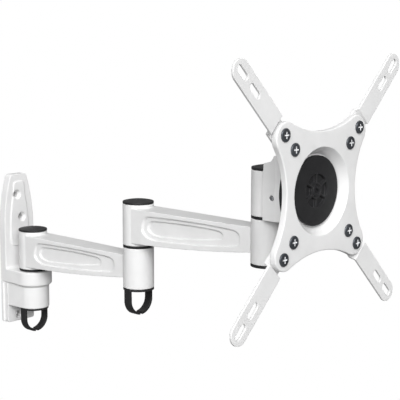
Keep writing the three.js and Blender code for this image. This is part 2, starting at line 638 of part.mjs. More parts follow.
const screen = groupAt(0, plateY, plateZ,
  meshOf('screen_plate', screenPlate(), WHITE),
  meshOf('clamp_disc', clampDisc(), BLACK),
  meshOf('plate_slip_washer', slipWasher, BLACK),
  meshOf('plate_swivel_bolt', swivelBolt(), DARK_STEEL),
  meshOf('plate_swivel_washer', swivelWasher, STEEL),
  meshOf('plate_swivel_nut', swivelNut, STEEL),
);
screen.rotation.x = Math.PI / 2;
CORNERS.forEach((corner, i) => {
  const arm = meshOf(`extension_arm_${corner}`, extensionArm(), WHITE);
  arm.rotation.z = Math.PI / 4 + i * Math.PI / 2;
  screen.add(arm);
  SCREW_SQUARES.forEach((square, row) => {
    const screw = meshOf(`screw_${corner}_${['inner', 'outer'][row]}`, panScrew(), DARK_STEEL);
    const [x, y] = squarePoints(square)[i];
    screw.position.set(x, y, 0);
    screen.add(screw);
  });
});
mount.add(screen);

export default mount;
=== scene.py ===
import json
import math

import bmesh
import bpy
from mathutils import Matrix, Vector


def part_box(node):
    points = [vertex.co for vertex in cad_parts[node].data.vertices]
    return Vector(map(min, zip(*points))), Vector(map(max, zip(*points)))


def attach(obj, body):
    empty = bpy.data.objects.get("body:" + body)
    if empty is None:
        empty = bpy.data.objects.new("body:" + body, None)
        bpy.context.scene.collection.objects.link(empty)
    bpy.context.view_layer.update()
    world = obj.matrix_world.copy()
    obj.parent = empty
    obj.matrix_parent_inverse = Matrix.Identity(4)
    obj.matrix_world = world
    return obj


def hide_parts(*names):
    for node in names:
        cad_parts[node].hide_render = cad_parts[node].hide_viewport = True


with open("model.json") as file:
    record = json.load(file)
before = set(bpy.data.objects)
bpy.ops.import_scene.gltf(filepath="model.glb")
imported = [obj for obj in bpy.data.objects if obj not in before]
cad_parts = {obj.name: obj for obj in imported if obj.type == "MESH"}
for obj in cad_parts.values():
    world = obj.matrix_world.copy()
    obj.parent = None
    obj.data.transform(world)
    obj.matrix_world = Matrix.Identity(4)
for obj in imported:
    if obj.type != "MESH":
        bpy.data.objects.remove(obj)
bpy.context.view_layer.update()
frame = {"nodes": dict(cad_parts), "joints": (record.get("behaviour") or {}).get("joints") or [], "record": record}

MM = 0.001

# ---- camera ---------------------------------------------------------------------------------------
CAMERA = {"place": (-0.741549, -0.963586, 0.237177), "azimuth": -47.083, "pitch": 8.815, "roll": 0.147}
LENS_MM, SENSOR_MM = 101.476, 36.0
CLIP_START, CLIP_END = 0.05, 60


def add_camera():
    azimuth, pitch, roll = (math.radians(CAMERA[k]) for k in ("azimuth", "pitch", "roll"))
    forward = Vector((-math.sin(azimuth) * math.cos(pitch), math.cos(azimuth) * math.cos(pitch), -math.sin(pitch)))
    level = Vector((math.cos(azimuth), math.sin(azimuth), 0))
    above = level.cross(forward)
    right = math.cos(roll) * level + math.sin(roll) * above
    up = math.cos(roll) * above - math.sin(roll) * level
    data = bpy.data.cameras.new("camera")
    data.lens, data.sensor_width, data.sensor_fit = LENS_MM, SENSOR_MM, "HORIZONTAL"
    data.clip_start, data.clip_end = CLIP_START, CLIP_END
    camera = bpy.data.objects.new("camera", data)
    camera.matrix_world = Matrix.Translation(CAMERA["place"]) @ Matrix((right, up, -forward)).transposed().to_4x4()
    bpy.context.scene.collection.objects.link(camera)
    bpy.context.scene.camera = camera


add_camera()

# ---- materials ------------------------------------------------------------------------------------


def new_material(name):
    material = bpy.data.materials.new(name)
    material.use_nodes = True
    nodes, links = material.node_tree.nodes, material.node_tree.links
    return material, nodes, links, nodes["Principled BSDF"]


def noise(nodes, links, scale, detail=3.0, stretch=(1, 1, 1)):
    """A noise in the object's own metres; scale is in features per metre."""
    coordinates = nodes.new("ShaderNodeTexCoord")
    mapping = nodes.new("ShaderNodeMapping")
    mapping.inputs["Scale"].default_value = stretch
    texture = nodes.new("ShaderNodeTexNoise")
    texture.inputs["Scale"].default_value = scale
    texture.inputs["Detail"].default_value = detail
    links.new(coordinates.outputs["Object"], mapping.inputs["Vector"])
    links.new(mapping.outputs["Vector"], texture.inputs["Vector"])
    return texture.outputs["Fac"]


def spread(nodes, links, fac, low, high, start=0.3, end=0.7):
    """Maps a noise onto a range of numbers or of colours."""
    if isinstance(low, tuple):
        ramp = nodes.new("ShaderNodeValToRGB")
        ramp.color_ramp.elements[0].position, ramp.color_ramp.elements[1].position = start, end
        ramp.color_ramp.elements[0].color, ramp.color_ramp.elements[1].color = (*low, 1), (*high, 1)
        links.new(fac, ramp.inputs["Fac"])
        return ramp.outputs["Color"]
    span = nodes.new("ShaderNodeMapRange")
    for key, value in zip(("From Min", "From Max", "To Min", "To Max"), (start, end, low, high)):
        span.inputs[key].default_value = value
    links.new(fac, span.inputs["Value"])
    return span.outputs["Result"]


def add_bump(nodes, links, shader, layers):
    """Stacks bumps: each layer is (features per metre, depth in metres, strength)."""
    normal = None
    for scale, depth, strength in layers:
        bump = nodes.new("ShaderNodeBump")
        bump.inputs["Distance"].default_value = depth
        bump.inputs["Strength"].default_value = strength
        links.new(noise(nodes, links, scale), bump.inputs["Height"])
        if normal:
            links.new(normal, bump.inputs["Normal"])
        normal = bump.outputs["Normal"]
    links.new(normal, shader.inputs["Normal"])


def surface(name, dark, light, rough, grain, colour_scale=45, metallic=0.0, stretch=(1, 1, 1), **sockets):
    """A material whose colour and roughness drift gently and whose grain is a stack of fine bumps."""
    material, nodes, links, shader = new_material(name)
    shader.inputs["Metallic"].default_value = metallic
    for key, value in sockets.items():
        shader.inputs[key.replace("_", " ")].default_value = value
    tone = noise(nodes, links, colour_scale, 4.0, stretch)
    links.new(spread(nodes, links, tone, dark, light), shader.inputs["Base Color"])
    gloss = noise(nodes, links, colour_scale * 5, 2.0, stretch)
    links.new(spread(nodes, links, gloss, *rough), shader.inputs["Roughness"])
    add_bump(nodes, links, shader, grain)
    return material


WHITE = surface("white_powder_coat", (0.69, 0.69, 0.69), (0.74, 0.74, 0.74), (0.30, 0.42),
                [(700, 0.00006, 0.35), (2600, 0.00002, 0.25)])
BLACK = surface("black_moulded_plastic", (0.012, 0.012, 0.013), (0.019, 0.019, 0.020), (0.42, 0.54),
                [(1800, 0.00004, 0.5)], Specular_IOR_Level=0.32)
NYLON = surface("natural_nylon", (0.74, 0.71, 0.62), (0.82, 0.80, 0.72), (0.40, 0.55),
                [(1200, 0.00003, 0.3)], Subsurface_Weight=0.1)
STEEL = surface("zinc_plated_steel", (0.52, 0.53, 0.55), (0.66, 0.67, 0.69), (0.24, 0.40),
                [(1500, 0.00002, 0.4)], metallic=1.0, stretch=(1, 1, 6))
DARK_STEEL = surface("black_zinc_steel", (0.068, 0.074, 0.083), (0.118, 0.127, 0.140), (0.26, 0.40),
                     [(1500, 0.00002, 0.3)], metallic=0.7)
# near-white paint for the screws' cross recesses: a painted highlight that stands in for the light the recess reflects
RECESS_HIGHLIGHT_PAINT = surface("painted_recess_highlight", (0.78, 0.79, 0.80), (0.92, 0.92, 0.93), (0.35, 0.5),
                     [(2500, 0.00002, 0.3)], metallic=0.2)
BLACK_OXIDE = surface("black_oxide_bolt", (0.012, 0.012, 0.013), (0.022, 0.022, 0.024), (0.40, 0.52),
                      [(1500, 0.00002, 0.3)], metallic=0.4)
FLOOR = surface("pale_floor", (0.20, 0.20, 0.20), (0.24, 0.24, 0.24), (0.7, 0.8), [(60, 0.0002, 0.1)],
                colour_scale=3)
SLOTS = {"white_paint": WHITE, "black_plastic": BLACK, "nylon": NYLON, "steel": STEEL, "dark_steel": DARK_STEEL}

# ---- shapes ---------------------------------------------------------------------------------------
# how many sides a round shape is given
HOLE_SIDES, BOLT_SIDES, SMALL_SIDES, BOSS_SIDES, DISC_SIDES = 32, 48, 64, 96, 128


def as_object(bm, name="shape"):
    bmesh.ops.recalc_face_normals(bm, faces=bm.faces)
    mesh = bpy.data.meshes.new(name)
    bm.to_mesh(mesh)
    bm.free()
    obj = bpy.data.objects.new(name, mesh)
    bpy.context.scene.collection.objects.link(obj)
    return obj


def bake(obj):
    """Applies an object's modifiers and clears them."""
    graph = bpy.context.evaluated_depsgraph_get()
    mesh = bpy.data.meshes.new_from_object(obj.evaluated_get(graph))
    obj.modifiers.clear()
    obj.data = mesh
    return obj


def combine(base, others, operation):
    """Joins, cuts or meets a base with other solids, which it uses up."""
    for other in others:
        modifier = base.modifiers.new("combine", "BOOLEAN")
        modifier.object, modifier.operation, modifier.solver = other, operation, "MANIFOLD"
    bake(base)
    for other in others:
        bpy.data.objects.remove(other)
    return base


def join(base, *others):
    return combine(base, others, "UNION")


def cut(base, *others):
    return combine(base, others, "DIFFERENCE")


def meet(base, *others):
    return combine(base, others, "INTERSECT")


def copied(obj, name):
    copy = bpy.data.objects.new(name, obj.data.copy())
    bpy.context.scene.collection.objects.link(copy)
    return copy


def moved(obj, x=0.0, y=0.0, z=0.0, turn=None):
    matrix = Matrix.Translation((x, y, z))
    if turn:
        matrix = matrix @ Matrix.Rotation(math.radians(turn[0]), 4, turn[1])
    obj.data.transform(matrix)
    return obj


def bend(start, control, end, steps=14):
    """Points along a quadratic curve, without its first one."""
    points = []
    for i in range(1, steps + 1):
        t = i / steps
        points.append(tuple((1 - t) ** 2 * a + 2 * t * (1 - t) * b + t * t * c for a, b, c in zip(start, control, end)))
    return points


def path(start, *curves, steps=14):
    """An outline from a start and a list of ends, or of (control, end) pairs."""
    points = [start]
    for curve in curves:
        points += bend(points[-1], *curve, steps=steps) if isinstance(curve[0], tuple) else [curve]
    return points


def arc(cx, cy, radius, start, end, steps=24):
    angles = [math.radians(start + (end - start) * i / steps) for i in range(steps + 1)]
    return [(cx + radius * math.cos(a), cy + radius * math.sin(a)) for a in angles]


def softened(points, radius, steps=4):
    """Rounds a closed outline's corners. A corner that sits on the turning axis, at x = 0, stays,
    and none takes up half of a side."""
    rounded = []
    count = len(points)
    for i, corner in enumerate(points):
        ends = (points[i - 1], points[(i + 1) % count])
        if abs(corner[0]) < 1e-6:
            rounded.append(corner)
            continue
        here = Vector(corner)
        reach = [min(radius, (Vector(end) - here).length * 0.45) for end in ends]
        before, after = (tuple(here.lerp(Vector(end), r / (Vector(end) - here).length)) for end, r in zip(ends, reach))
        rounded += [before] + bend(before, corner, after, steps)
    return rounded


def turned(profile, segments=BOSS_SIDES, radius=0.0):
    """A body turned about Z from (radius, height) points, closed on the axis or on itself."""
    profile = softened(profile, radius) if radius else profile
    bm = bmesh.new()
    angles = [2 * math.pi * i / segments for i in range(segments)]
    rings = []
    for r, z in profile:
        places = [(0, 0, z)] if abs(r) < 1e-6 else [(r * math.cos(a), r * math.sin(a), z) for a in angles]
        rings.append([bm.verts.new(place) for place in places])
    for lower, upper in zip(rings, rings[1:] + rings[:1]):
        if len(lower) == len(upper) == 1:
            continue
        for i in range(segments):
            j = (i + 1) % segments
            corners = [lower[i % len(lower)], lower[j % len(lower)], upper[j % len(upper)], upper[i % len(upper)]]
            bm.faces.new(list(dict.fromkeys(corners)))
    return as_object(bm)


def rod(radius, low, high, segments=SMALL_SIDES, soft=0.0):
    return turned([(0, low), (radius, low), (radius, high), (0, high)], segments, soft)


def ring(inner, outer, low, high, segments, soft):
    return turned([(inner, low), (outer, low), (outer, high), (inner, high)], segments, soft)


def hexagon(radius, low, high, chamfer=0.0):
    """A hexagonal prism; its corners are turned down by the chamfer at both ends."""
    prism = turned([(0, low), (radius, low), (radius, high), (0, high)], 6)
    if not chamfer:
        return prism
    flat = radius * math.cos(math.pi / 6)
    trim = turned([(0, low), (flat, low), (radius + 0.1, low + chamfer), (radius + 0.1, high - chamfer), (flat, high),
                   (0, high)], SMALL_SIDES)
    return meet(prism, trim)


AXES = {"z": ((1, 0, 0), (0, 1, 0), (0, 0, 1)), "x": ((0, 1, 0), (0, 0, 1), (1, 0, 0)),
        "y": ((0, 0, 1), (1, 0, 0), (0, 1, 0))}


def pushed(outline, axis, low, high, bevel=(0.0, 0.0)):
    """An outline pushed out along an axis: drawn in x, y for z, in y, z for x and in z, x for y.
    bevel rounds the edges of the low and the high end."""
    u, v, w = (Vector(a) for a in AXES[axis])
    bm = bmesh.new()
    clean = [p for i, p in enumerate(outline) if (Vector(p) - Vector(outline[i - 1])).length > 1e-4]
    ends = [bm.faces.new([bm.verts.new(u * a + v * b + w * level) for a, b in clean]) for level in (low, high)]
    count = len(clean)
    for i in range(count):
        j = (i + 1) % count
        bm.faces.new([ends[0].verts[i], ends[0].verts[j], ends[1].verts[j], ends[1].verts[i]])
    for end, size in zip(list(ends), bevel):
        if size:
            bmesh.ops.bevel(bm, geom=list(end.edges), offset=size, segments=3, profile=0.5, affect="EDGES")
    return as_object(bm)


def block(x, y, z):
    return pushed([(x[0], y[0]), (x[1], y[0]), (x[1], y[1]), (x[0], y[1])], "z", *z)


def cast(obj, voxel, rounds, keep):
    """Gives a solid the rounded edges and fillets of a casting: a larger voxel and more rounds soften it more,
    and keep is the share of its faces that stays."""
    remesh = obj.modifiers.new("skin", "REMESH")
    remesh.mode, remesh.voxel_size, remesh.use_smooth_shade = "VOXEL", voxel, True
    smooth = obj.modifiers.new("soften", "SMOOTH")
    smooth.factor, smooth.iterations = 0.5, rounds
    thin = obj.modifiers.new("thin", "DECIMATE")
    thin.ratio = keep
    return bake(obj)


def piece(obj, name, body, material_slot, *nodes, at=(0, 0, 0), turn=None, extra=()):
    """Turns a shape in millimetres into a piece that rides on a body and stands for CAD nodes."""
    if turn:
        obj.data.transform(Matrix.Rotation(math.radians(turn[0]), 4, turn[1]))
    obj.data.transform(Matrix.Scale(MM, 4) @ Matrix.Translation(at))
    obj.name = obj.data.name = name
    if not extra:
        obj.data.materials.clear()
        obj.data.materials.append(SLOTS[material_slot])
    for polygon in obj.data.polygons:
        polygon.use_smooth = True
    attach(obj, body)
    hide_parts(*nodes)
    return obj


def crisp(obj, angle=35):
    """Keeps the edges sharper than an angle as they are, under smooth shading."""
    bm = bmesh.new()
    bm.from_mesh(obj.data)
    limit = math.radians(angle)
    for edge in bm.edges:
        edge.smooth = len(edge.link_faces) == 2 and edge.calc_face_angle(0) < limit
    bm.to_mesh(obj.data)
    bm.free()
    return obj


# ---- places -----------------------------------------------------------------------------------------
JOINTS = {joint["name"]: Vector(joint["pos_m"]) / MM for joint in frame["joints"]}
PIVOT_Y = {"shoulder": JOINTS["wall_swivel"].y, "elbow": JOINTS["elbow_swivel"].y, "head": JOINTS["head_swivel"].y}
LOW = {"shoulder": "wall_bracket", "elbow": "inner_arm", "head": "outer_arm"}  # the body a pivot's bolt is fixed to
HIGH = {"shoulder": "inner_arm", "elbow": "outer_arm", "head": "swivel_head"}  # the body that turns on it
REACH = PIVOT_Y["shoulder"] - PIVOT_Y["elbow"]
TILT = JOINTS["tilt"]
PLATE = JOINTS["screen_rotation"]


def low(node):
    """The height of a node's lowest point."""
    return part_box(node)[0].z / MM


def high(node):
    """The height of a node's highest point."""
    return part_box(node)[1].z / MM


# ---- pivots ---------------------------------------------------------------------------------------
BOSS_RADIUS, BOSS_HEIGHT, BOSS_EDGE = 15.0, 39.7, 0.8
WELL_RADIUS, WELL_DEPTH, LOWER_WELL_DEPTH, BUSH_BORE = 11.6, 9.5, 2.1, 8.4
NUT_WELL_RADIUS, NUT_WELL_DEPTH, BOLT_BORE = 11.2, 14.0, 5.3
CAP_DOME, CAP_PEAK, CAP_RIM, CAP_EDGE = 1.4, 0.5, 2.0, 0.55
SKIRT_INNER, SKIRT_OUTER = 9.6, 11.3
WASHER_BORE, WASHER_INSET, WASHER_EDGE = 5.4, 0.1, 0.35
LOCK_NUT_RADIUS, LOCK_NUT_BORE, LOCK_NUT_CHAMFER = 9.55, 5.35, 1.0


def boss(foot):
    return rod(BOSS_RADIUS, foot, foot + BOSS_HEIGHT, BOSS_SIDES, BOSS_EDGE)


def bush_bore(foot):
    """The cutters for a boss that turns on two bushes, with a shallow well below and a deeper one above."""
    top = foot + BOSS_HEIGHT
    return [rod(BUSH_BORE, foot - 1, top + 1), rod(WELL_RADIUS, top - WELL_DEPTH, top + 1),
            rod(WELL_RADIUS, foot - 1, foot + LOWER_WELL_DEPTH)]


def nut_bore(seat):
    """The cutters for a boss that holds a bolt, with a well for the nut below."""
    foot = seat - BOSS_HEIGHT
    return [rod(BOLT_BORE, foot - 1, seat + 1), rod(NUT_WELL_RADIUS, foot - 1, foot + NUT_WELL_DEPTH)]


def add_pivot(name):
    """A pivot's domed cap, its washer and its nut."""
    y = PIVOT_Y[name]
    cap_low, cap_high = low(f"{name}_cap"), high(f"{name}_cap")
    rim = cap_high - CAP_DOME
    seam = rim - CAP_RIM
    peak = cap_high + CAP_PEAK
    crown = path((BOSS_RADIUS, rim), ((BOSS_RADIUS / 2, peak), (0, peak)))
    skirt = [(SKIRT_INNER, seam), (SKIRT_INNER, cap_low), (SKIRT_OUTER, cap_low), (SKIRT_OUTER, seam)]
    cap = turned([(0, seam), *skirt, (BOSS_RADIUS, seam), *crown], DISC_SIDES, CAP_EDGE)
    piece(cap, f"{name}_top_cap", HIGH[name], "black_plastic", f"{name}_cap", at=(0, y, 0))
    washer = f"{name}_slip_washer"
    washer_ring = ring(WASHER_BORE, BOSS_RADIUS - WASHER_INSET, low(washer), high(washer), DISC_SIDES, WASHER_EDGE)
    piece(washer_ring, f"{name}_black_washer", LOW[name], "black_plastic", washer, at=(0, y, 0))
    nut = f"{name}_lock_nut"
    body = cut(hexagon(LOCK_NUT_RADIUS, low(nut), high(nut), LOCK_NUT_CHAMFER),
               rod(LOCK_NUT_BORE, low(nut) - 1, high(nut) + 1))
    piece(crisp(body), f"{name}_hex_lock_nut", LOW[name], "steel", nut, at=(0, y, 0))


for pivot in PIVOT_Y:
    add_pivot(pivot)

# ---- arms -----------------------------------------------------------------------------------------
ARM_RISE = 4.8
# half-widths at the root and the tip, how far the middle draws in, and the chamfer at the root
BEAM_ROOT, BEAM_TIP, BEAM_WAIST, BEAM_CHAMFER = 14.3, 9.8, 0.6, 4
BEAM_TOP, ROOT_FOOT, MIDDLE_FOOT, TIP_FOOT = 36.3, 2.8, 4.6, 15.2
EDGE_SHARE = 0.4  # the share of an inset that the top and the foot move by
BEAM_DEEP, BEAM_WIDE, PAST_BEAM = 30, 16, 20
BAY_COUNT, BAY_START, BAY_PITCH, BAY_LENGTH = 3, 25, 38, 34
BAY_WALL, BAY_DROP, BAY_ROOF = 6.4, 20, 4.8
LEAF_STEP, LEAF_SLICES = 1.9, 4  # the depth of a level of the leaf hollow, and the slices its slope is made of
# how far a level's floor is drawn in from its mouth: all round, downwards, and away from the root
LEAF_RUN, LEAF_SINK, LEAF_LAG = 0.7, 0.7, 0.7
OUTER_LEAF = path((-18.5, 18), ((-20, 30.5), (-28, 31.6)), ((-90, 34.2), (-130, 31.6)), ((-138.2, 30.5), (-138.5, 24)),
                  ((-138.2, 17), (-129.5, 16.2)), ((-84, 11), (-38, 9.4)), ((-21, 9.2), (-18.5, 18)))[1:]
INNER_LEAF = path((-25, 19), ((-25.5, 26.8), (-32, 27.6)), ((-78, 30.4), (-111, 28.4)),
                  ((-117.4, 27.6), (-117.6, 23.8)), ((-117.6, 20.6), (-111, 19.9)), ((-80, 15), (-42, 13.4)),
                  ((-26.5, 13.4), (-25, 19)))[1:]


def shrunk(points, by):
    """The outline drawn in by a distance, each point square to the line between its neighbours."""
    inner = []
    for i, point in enumerate(points):
        along = (Vector(points[(i + 1) % len(points)]) - Vector(points[i - 1])).normalized()
        inner.append((point[0] - along.y * by, point[1] + along.x * by))
    return inner


def beam(inset, drop=0.0):
    """The arm between its bosses, drawn in by an inset and let down below by a drop."""
    root, tip = BEAM_ROOT - inset, BEAM_TIP - inset
    half = path((root - BEAM_CHAMFER, 0), (root, -BEAM_CHAMFER), ((root - BEAM_WAIST, -REACH / 2), (tip, -REACH)),
                steps=24)
    plan = half + [(-x, y) for x, y in reversed(half)]
    edge = inset * EDGE_SHARE
    top, foot = BEAM_TOP - edge, -drop
    side = path((0, foot + ROOT_FOOT + edge), (0, top), (-REACH, top), (-REACH, foot + TIP_FOOT + edge),
                ((-REACH / 2, foot + MIDDLE_FOOT + edge), (0, foot + ROOT_FOOT + edge)), steps=24)
    return meet(pushed(plan, "z", -BEAM_DEEP, BOSS_HEIGHT), pushed(side, "x", -BEAM_WIDE, BEAM_WIDE))


def leaf_layers():
    """The beam's skin: each layer lies deeper than the last and is cut by a smaller outline."""
    layers = []
    for level, leaf in enumerate((OUTER_LEAF, INNER_LEAF)):
        tip, root = min(y for y, z in leaf), max(y for y, z in leaf)
        for i in range(LEAF_SLICES):
            part = i / LEAF_SLICES
            lag, sink = LEAF_LAG * part / (root - tip), LEAF_SINK * part
            opening = [(y - lag * (y - tip), z - sink) for y, z in shrunk(leaf, LEAF_RUN * part)]
            layers.append(cut(beam(LEAF_STEP * (level + part)), pushed(opening, "x", -PAST_BEAM, PAST_BEAM)))
    return layers


def arm_shape():
    body = join(beam(2 * LEAF_STEP), *leaf_layers())
    bays = []
    for i in range(BAY_COUNT):
        start = BAY_START + BAY_PITCH * i
        room = block((-BOSS_RADIUS, BOSS_RADIUS), (-start - BAY_LENGTH, -start), (-BEAM_DEEP, BEAM_TOP - BAY_ROOF))
        bays.append(meet(beam(BAY_WALL, BAY_DROP), room))
    outer_boss = moved(boss(ARM_RISE), y=-REACH)
    outer_bore = [moved(tool, y=-REACH) for tool in nut_bore(ARM_RISE + BOSS_HEIGHT)]
    body = cut(body, *bays)
    body = join(body, boss(0), outer_boss)
    return cast(cut(body, *bush_bore(0), *outer_bore), voxel=0.4, rounds=1, keep=0.22)


arm = arm_shape()
for node, pivot in (("lower_arm", "shoulder"), ("upper_arm", "elbow")):
    copy = copied(arm, node)
    piece(copy, f"{node}_casting", HIGH[pivot], "white_paint", node, at=(0, PIVOT_Y[pivot], low(node)))
bpy.data.objects.remove(arm)

# ---- wall plate -------------------------------------------------------------------------------------
PLATE_TOP, PLATE_FOOT = 80.0, -80.0
PLATE_FRONT, PLATE_FLANGE, PANEL_FRONT = -9.2, -3.3, -10.2
FRONT_ROOT, PANEL_ROOT = -0.5, -2  # where the front slab, and the shapes that stand on it, end inside the plate
PLATE_HALF, PLATE_LOW_HALF, PLATE_TOP_HALF = 19.2, 17.6, 11.2
PLATE_CORNER, PLATE_STEP, PLATE_CURVE, PLATE_CONTROL = 3, -28, 22, 50
FRONT_BEVEL, PANEL_BEVEL, FLANGE_BEVEL, BACK_BEVEL = 1.2, 0.95, 0.5, 0.3
SHELF_TOP, SHELF_FOOT, SHELF_RADIUS, SHELF_EDGE = -20.75, -34.75, 19.2, 0.9
SHELF_UNDER, SHELF_LIP = 2.8, 2.4
HOUSING_FOOT, HOUSING_RADIUS, HOUSING_EDGE = -60.45, 16.0, 0.8
WEB_ROOT, COVE_ABOVE, COVE_BELOW = -6, 4, -2.5
SCREW_PLACES = [(-3, 58), (3, 33.6), (-2, -73)]
SCREW_HOLE, SCREW_SINK, SINK_FOOT, SINK_MOUTH = 2.9, 4.9, 3.0, 0.9


def both_sides(half):
    """A closed outline from its half with positive second values."""
    return half + [(u, -v) for u, v in reversed(half)]


def wall_outline(lower):
    """The plate's outline in z, x; lower is its half-width below the shelf."""
    foot, top = PLATE_FOOT + PLATE_CORNER, PLATE_TOP - PLATE_CORNER
    half = path((PLATE_FOOT, lower - PLATE_CORNER), ((PLATE_FOOT, lower), (foot, lower)), (PLATE_STEP, lower),
                (PLATE_STEP, PLATE_HALF), (PLATE_CURVE, PLATE_HALF),
                ((PLATE_CONTROL, PLATE_HALF), (top, PLATE_TOP_HALF)),
                ((PLATE_TOP, PLATE_TOP_HALF - 1), (PLATE_TOP, PLATE_TOP_HALF - 4)), steps=20)
    return both_sides(half)


def panel_outline():
    """The raised panel above the shelf, in z, x: wide at its foot and narrower where the plate draws in."""
    return both_sides(path((2.5, 3.8), ((2.5, 11.8), (10.5, 11.8)), (20, 11.8), ((34, 11.8), (49, 9.3)),
                           ((59, 7.2), (67, 7.0)), ((72, 7.0), (72, 2.0)), steps=20))


def cove(level, rise):
    """Fills the corner between the plate's front and a face at a level, above it or (negative) below."""
    reach = PLATE_FRONT - abs(rise)
    inside = level - math.copysign(1, rise)
    outline = path((PANEL_ROOT, inside), (reach, inside), (reach, level),
                   ((PLATE_FRONT, level), (PLATE_FRONT, level + rise)), (PANEL_ROOT, level + rise))
    return pushed(outline, "x", -HOUSING_RADIUS, HOUSING_RADIUS)


def wall_shape():
    pivot = PIVOT_Y["shoulder"]
    plate = pushed(wall_outline(PLATE_HALF), "y", PLATE_FLANGE, 0, (FLANGE_BEVEL, BACK_BEVEL))
    front = pushed(wall_outline(PLATE_LOW_HALF), "y", PLATE_FRONT, FRONT_ROOT, (FRONT_BEVEL, 0))
    panel = pushed(panel_outline(), "y", PANEL_FRONT, PANEL_ROOT, (PANEL_BEVEL, 0))
    shelf = softened([(0, SHELF_FOOT - SHELF_UNDER), (HOUSING_RADIUS, SHELF_FOOT - SHELF_LIP),
                      (SHELF_RADIUS, SHELF_FOOT), (SHELF_RADIUS, SHELF_TOP), (0, SHELF_TOP)], SHELF_EDGE)
    housing = rod(HOUSING_RADIUS, HOUSING_FOOT, SHELF_FOOT, BOSS_SIDES, HOUSING_EDGE)
    shelf_web = block((-SHELF_RADIUS, SHELF_RADIUS), (pivot, PANEL_ROOT), (SHELF_FOOT, SHELF_TOP))
    web = [(PLATE_LOW_HALF, WEB_ROOT), (-PLATE_LOW_HALF, WEB_ROOT), (-HOUSING_RADIUS, pivot), (HOUSING_RADIUS, pivot)]
    body = join(plate, front, panel, moved(turned(shelf), y=pivot), moved(housing, y=pivot), shelf_web,
                pushed(web, "z", HOUSING_FOOT, SHELF_FOOT + 1), cove(SHELF_TOP, COVE_ABOVE),
                cove(HOUSING_FOOT, COVE_BELOW))
    tools = [moved(tool, y=pivot) for tool in nut_bore(SHELF_TOP)]
    for x, z in SCREW_PLACES:
        face = -PANEL_FRONT if z > 2 else -PLATE_FRONT
        hole = turned([(0, -1), (SCREW_HOLE, -1), (SCREW_HOLE, face - SINK_FOOT), (SCREW_SINK, face - SINK_MOUTH),
                       (SCREW_SINK, face + 2), (0, face + 2)], BOLT_SIDES)
        tools.append(moved(moved(hole, turn=(90, "X")), x=x, z=z))
    return cast(cut(body, *tools), voxel=0.45, rounds=4, keep=0.25)


piece(wall_shape(), "wall_plate_casting", "wall_bracket", "white_paint", "wall_plate")

# ---- cable clips ------------------------------------------------------------------------------------
CLIP_RING, CLIP_DROP, CLIP_BEVEL, LOOP_TOP = 2.4, 27.3, 0.4, -0.6
CLIP_RADIUS, CLIP_STRIP, CLIP_WIDTH, CLIP_BEHIND = 15.1, 2.5, 8.5, 0.5
CLIP_SPLIT = 2.4
COLLAR_BORE, COLLAR_SPIGOT, COLLAR_SEAT, COLLAR_RISE, COLLAR_EDGE = 8, 10.9, -0.3, 1.6, 0.4
COLLAR = [(COLLAR_BORE, -CLIP_RING), (BOSS_RADIUS, -CLIP_RING), (BOSS_RADIUS, COLLAR_SEAT),
          (COLLAR_SPIGOT, COLLAR_SEAT), (COLLAR_SPIGOT, COLLAR_RISE), (COLLAR_BORE, COLLAR_RISE)]
END_FLOOR = -0.9


def clip_shape():
    within = CLIP_RADIUS - CLIP_STRIP
    centre = CLIP_RADIUS - CLIP_DROP
    outer = [(LOOP_TOP, CLIP_RADIUS)] + [(centre + y, x) for x, y in arc(0, 0, CLIP_RADIUS, 0, -180, 48)]
    inner = [(centre + y, x) for x, y in arc(0, 0, within, -180, 0, 48)] + [(LOOP_TOP, within)]
    loop = pushed(outer + [(LOOP_TOP, -CLIP_RADIUS), (LOOP_TOP, -within)] + inner, "y", CLIP_BEHIND - CLIP_WIDTH / 2,
                  CLIP_BEHIND + CLIP_WIDTH / 2, (CLIP_BEVEL, CLIP_BEVEL))
    gap = block((-CLIP_SPLIT / 2, CLIP_SPLIT / 2), (-12, 12), (-40, centre - 5))
    return cast(cut(join(loop, turned(COLLAR, BOSS_SIDES, COLLAR_EDGE)), gap), voxel=0.36, rounds=1, keep=0.35)


clip = clip_shape()
for pivot in ("shoulder", "elbow"):
    node = f"{pivot}_cable_clip"
    copy = copied(clip, node)
    seat = low(node) + CLIP_DROP
    piece(copy, f"{node}_loop", f"{pivot}_clip", "black_plastic", node, at=(0, PIVOT_Y[pivot], seat))
bpy.data.objects.remove(clip)

end_ring = turned([(0, -CLIP_RING), *COLLAR[1:], (COLLAR_BORE, END_FLOOR), (0, END_FLOOR)], BOSS_SIDES, COLLAR_EDGE)
piece(end_ring, "head_end_cap", "outer_arm", "black_plastic", "head_end_ring",
      at=(0, PIVOT_Y["head"], low("head_end_ring") + CLIP_RING))

# ---- head -------------------------------------------------------------------------------------------
LUG_RADIUS, LUG_HALF_WIDTH, LUG_BORE, NECK_ROOT = 8.5, 12.8, 2.9, -8
CHEEK_OUTER, CHEEK_INNER, NECK_OUTER, NECK_INNER = 18.5, 15.5, 16.6, 13.4
CHEEK_FOOT, CHEEK_CROWN, CHEEK_REAR, PAST_CHEEK = -19.8, 35.9, 14, 30
WEB_FRONT, WEB_BACK = 17, 21  # behind the screen plate's face
FLANGE, HUB = (27, -18, -14.6), (11.9, -17, -9.8)  # radius, back and front
CENTRE_BORE, CROSS_BORE = 4.3, 2.35
TILT_BOLT_RADIUS, TILT_BOLT_END, SOCKET_RADIUS, SOCKET_DEPTH = 1.95, 5.8, 1.1, 2
TILT_NUT_RADIUS, TILT_NUT_BORE, TILT_NUT_FOOT, TILT_NUT_TOP = 4.7, 2.9, 0.3, 4.3
ACROSS = (90, "Y")
TO_SCREEN = (90, "X")


